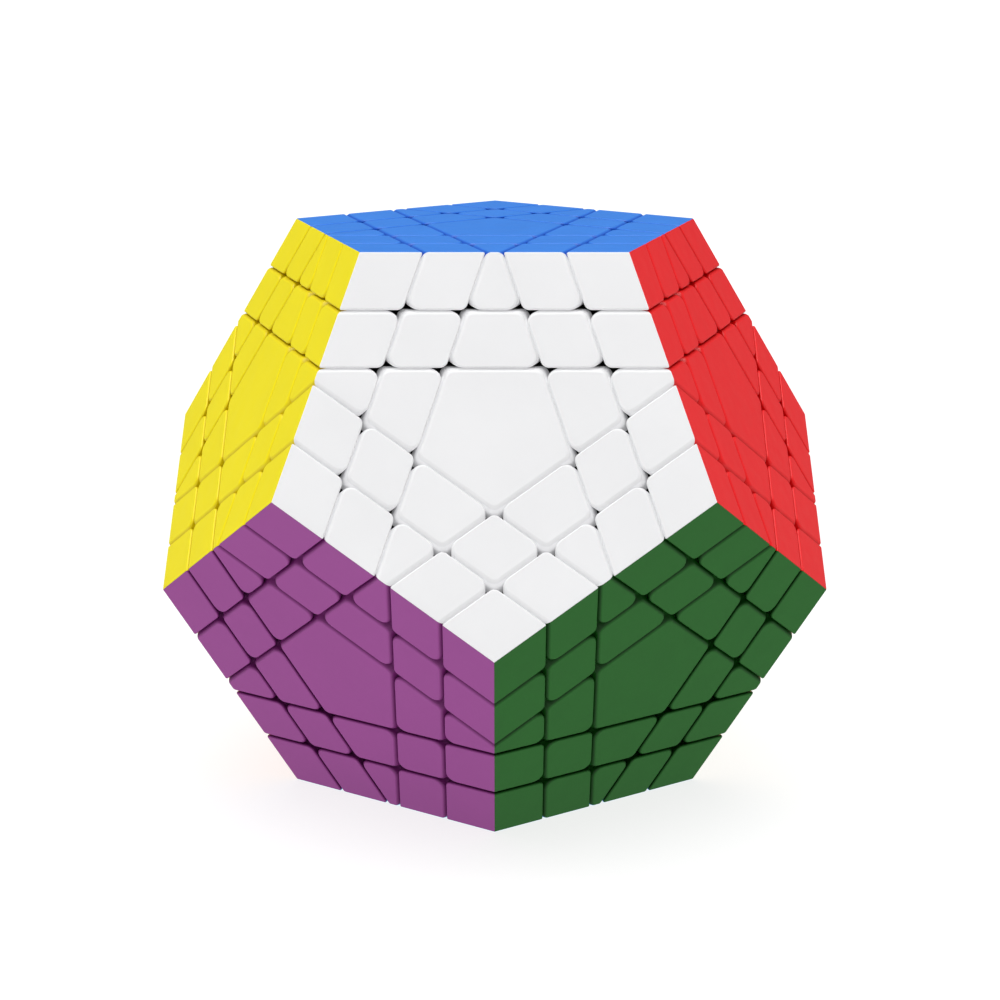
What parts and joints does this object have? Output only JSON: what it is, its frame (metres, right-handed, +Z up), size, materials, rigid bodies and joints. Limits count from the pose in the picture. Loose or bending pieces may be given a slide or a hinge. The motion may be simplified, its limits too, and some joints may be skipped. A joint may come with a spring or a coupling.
{
  "type": "dodecahedron twisty puzzle",
  "caption": "Stickerless dodecahedral twisty puzzle: pentagonal faces cut into tiles, turning in two layers per face around a sprung core.",
  "frame": {"origin": "centre of the light blue face on which the puzzle rests", "axes": "+Z up through the blue face; -Y is the side where the white face looks up and outwards"},
  "size_m": [0.1256, 0.1322, 0.1069],
  "materials": {
    "core_plastic": "satin black moulding",
    "steel": "bright zinc-plated screw and spring wire",
    "blue_plastic": "satin through-coloured moulding",
    "white_plastic": "satin through-coloured moulding",
    "red_plastic": "satin through-coloured moulding",
    "pink_plastic": "satin through-coloured moulding",
    "light_green_plastic": "satin through-coloured moulding",
    "yellow_plastic": "satin through-coloured moulding",
    "green_plastic": "satin through-coloured moulding",
    "cream_plastic": "satin through-coloured moulding",
    "grey_plastic": "satin through-coloured moulding",
    "orange_plastic": "satin through-coloured moulding",
    "purple_plastic": "satin through-coloured moulding",
    "light_blue_plastic": "satin through-coloured moulding"
  },
  "bodies": {
    "core": {"core_ball": "core_plastic", "screw_blue": "steel", "spring_blue": "steel", "centre_white": "white_plastic", "centre_red": "red_plastic", "centre_pink": "pink_plastic", "centre_light_green": "light_green_plastic", "centre_yellow": "yellow_plastic", "centre_green": "green_plastic", "centre_grey": "grey_plastic", "centre_orange": "orange_plastic", "centre_light_blue": "light_blue_plastic", "face_block_white": "white_plastic", "face_block_red": "red_plastic", "face_block_pink": "pink_plastic", "face_block_light_green": "light_green_plastic", "face_block_yellow": "yellow_plastic", "face_block_green": "green_plastic", "face_block_grey": "grey_plastic", "face_block_orange": "orange_plastic", "face_block_light_blue": "light_blue_plastic"},
    "blue_outer_layer": {"centre_base_blue": "blue_plastic", "centre_cap_blue": "blue_plastic", "t_centre_blue_by_white": "blue_plastic", "mid_edge_blue_white": "blue_plastic", "x_centre_blue_by_white_red": "blue_plastic", "wing_blue_white_by_red": "blue_plastic", "corner_blue_white_red": "blue_plastic", "x_centre_blue_by_white_yellow": "blue_plastic", "wing_blue_white_by_yellow": "blue_plastic", "corner_blue_white_yellow": "blue_plastic", "t_centre_blue_by_red": "blue_plastic", "mid_edge_blue_red": "blue_plastic", "wing_blue_red_by_white": "blue_plastic", "x_centre_blue_by_red_pink": "blue_plastic", "wing_blue_red_by_pink": "blue_plastic", "corner_blue_red_pink": "blue_plastic", "t_centre_blue_by_pink": "blue_plastic", "mid_edge_blue_pink": "blue_plastic", "wing_blue_pink_by_red": "blue_plastic", "x_centre_blue_by_pink_light_green": "blue_plastic", "wing_blue_pink_by_light_green": "blue_plastic", "corner_blue_pink_light_green": "blue_plastic", "t_centre_blue_by_light_green": "blue_plastic", "mid_edge_blue_light_green": "blue_plastic", "wing_blue_light_green_by_pink": "blue_plastic", "x_centre_blue_by_light_green_yellow": "blue_plastic", "wing_blue_light_green_by_yellow": "blue_plastic", "corner_blue_light_green_yellow": "blue_plastic", "t_centre_blue_by_yellow": "blue_plastic", "mid_edge_blue_yellow": "blue_plastic", "wing_blue_yellow_by_white": "blue_plastic", "wing_blue_yellow_by_light_green": "blue_plastic"},
    "blue_second_layer": {"second_layer_blue": "blue_plastic"},
    "purple_outer_layer": {"centre_purple": "purple_plastic", "outer_layer_purple": "purple_plastic"},
    "purple_second_layer": {"second_layer_purple": "purple_plastic"},
    "cream_outer_layer": {"centre_cream": "cream_plastic", "outer_layer_cream": "cream_plastic"},
    "cream_second_layer": {"second_layer_cream": "cream_plastic"}
  },
  "joints": [
    {"name": "blue_outer_layer_turn", "type": "hinge", "parent": "core", "child": "blue_outer_layer", "pos_m": [0, 0, 0.05345], "axis": [0, 0, 1], "continuous": true},
    {"name": "blue_second_layer_turn", "type": "hinge", "parent": "core", "child": "blue_second_layer", "pos_m": [0, 0, 0.05345], "axis": [0, 0, 1], "continuous": true},
    {"name": "purple_outer_layer_turn", "type": "hinge", "parent": "core", "child": "purple_outer_layer", "pos_m": [0, 0, 0.05345], "axis": [-0.5257, -0.7236, -0.4472], "continuous": true},
    {"name": "purple_second_layer_turn", "type": "hinge", "parent": "core", "child": "purple_second_layer", "pos_m": [0, 0, 0.05345], "axis": [-0.5257, -0.7236, -0.4472], "continuous": true},
    {"name": "cream_outer_layer_turn", "type": "hinge", "parent": "core", "child": "cream_outer_layer", "pos_m": [0, 0, 0.05345], "axis": [0.8507, 0.2764, -0.4472], "continuous": true},
    {"name": "cream_second_layer_turn", "type": "hinge", "parent": "core", "child": "cream_second_layer", "pos_m": [0, 0, 0.05345], "axis": [0.8507, 0.2764, -0.4472], "continuous": true}
  ]
}
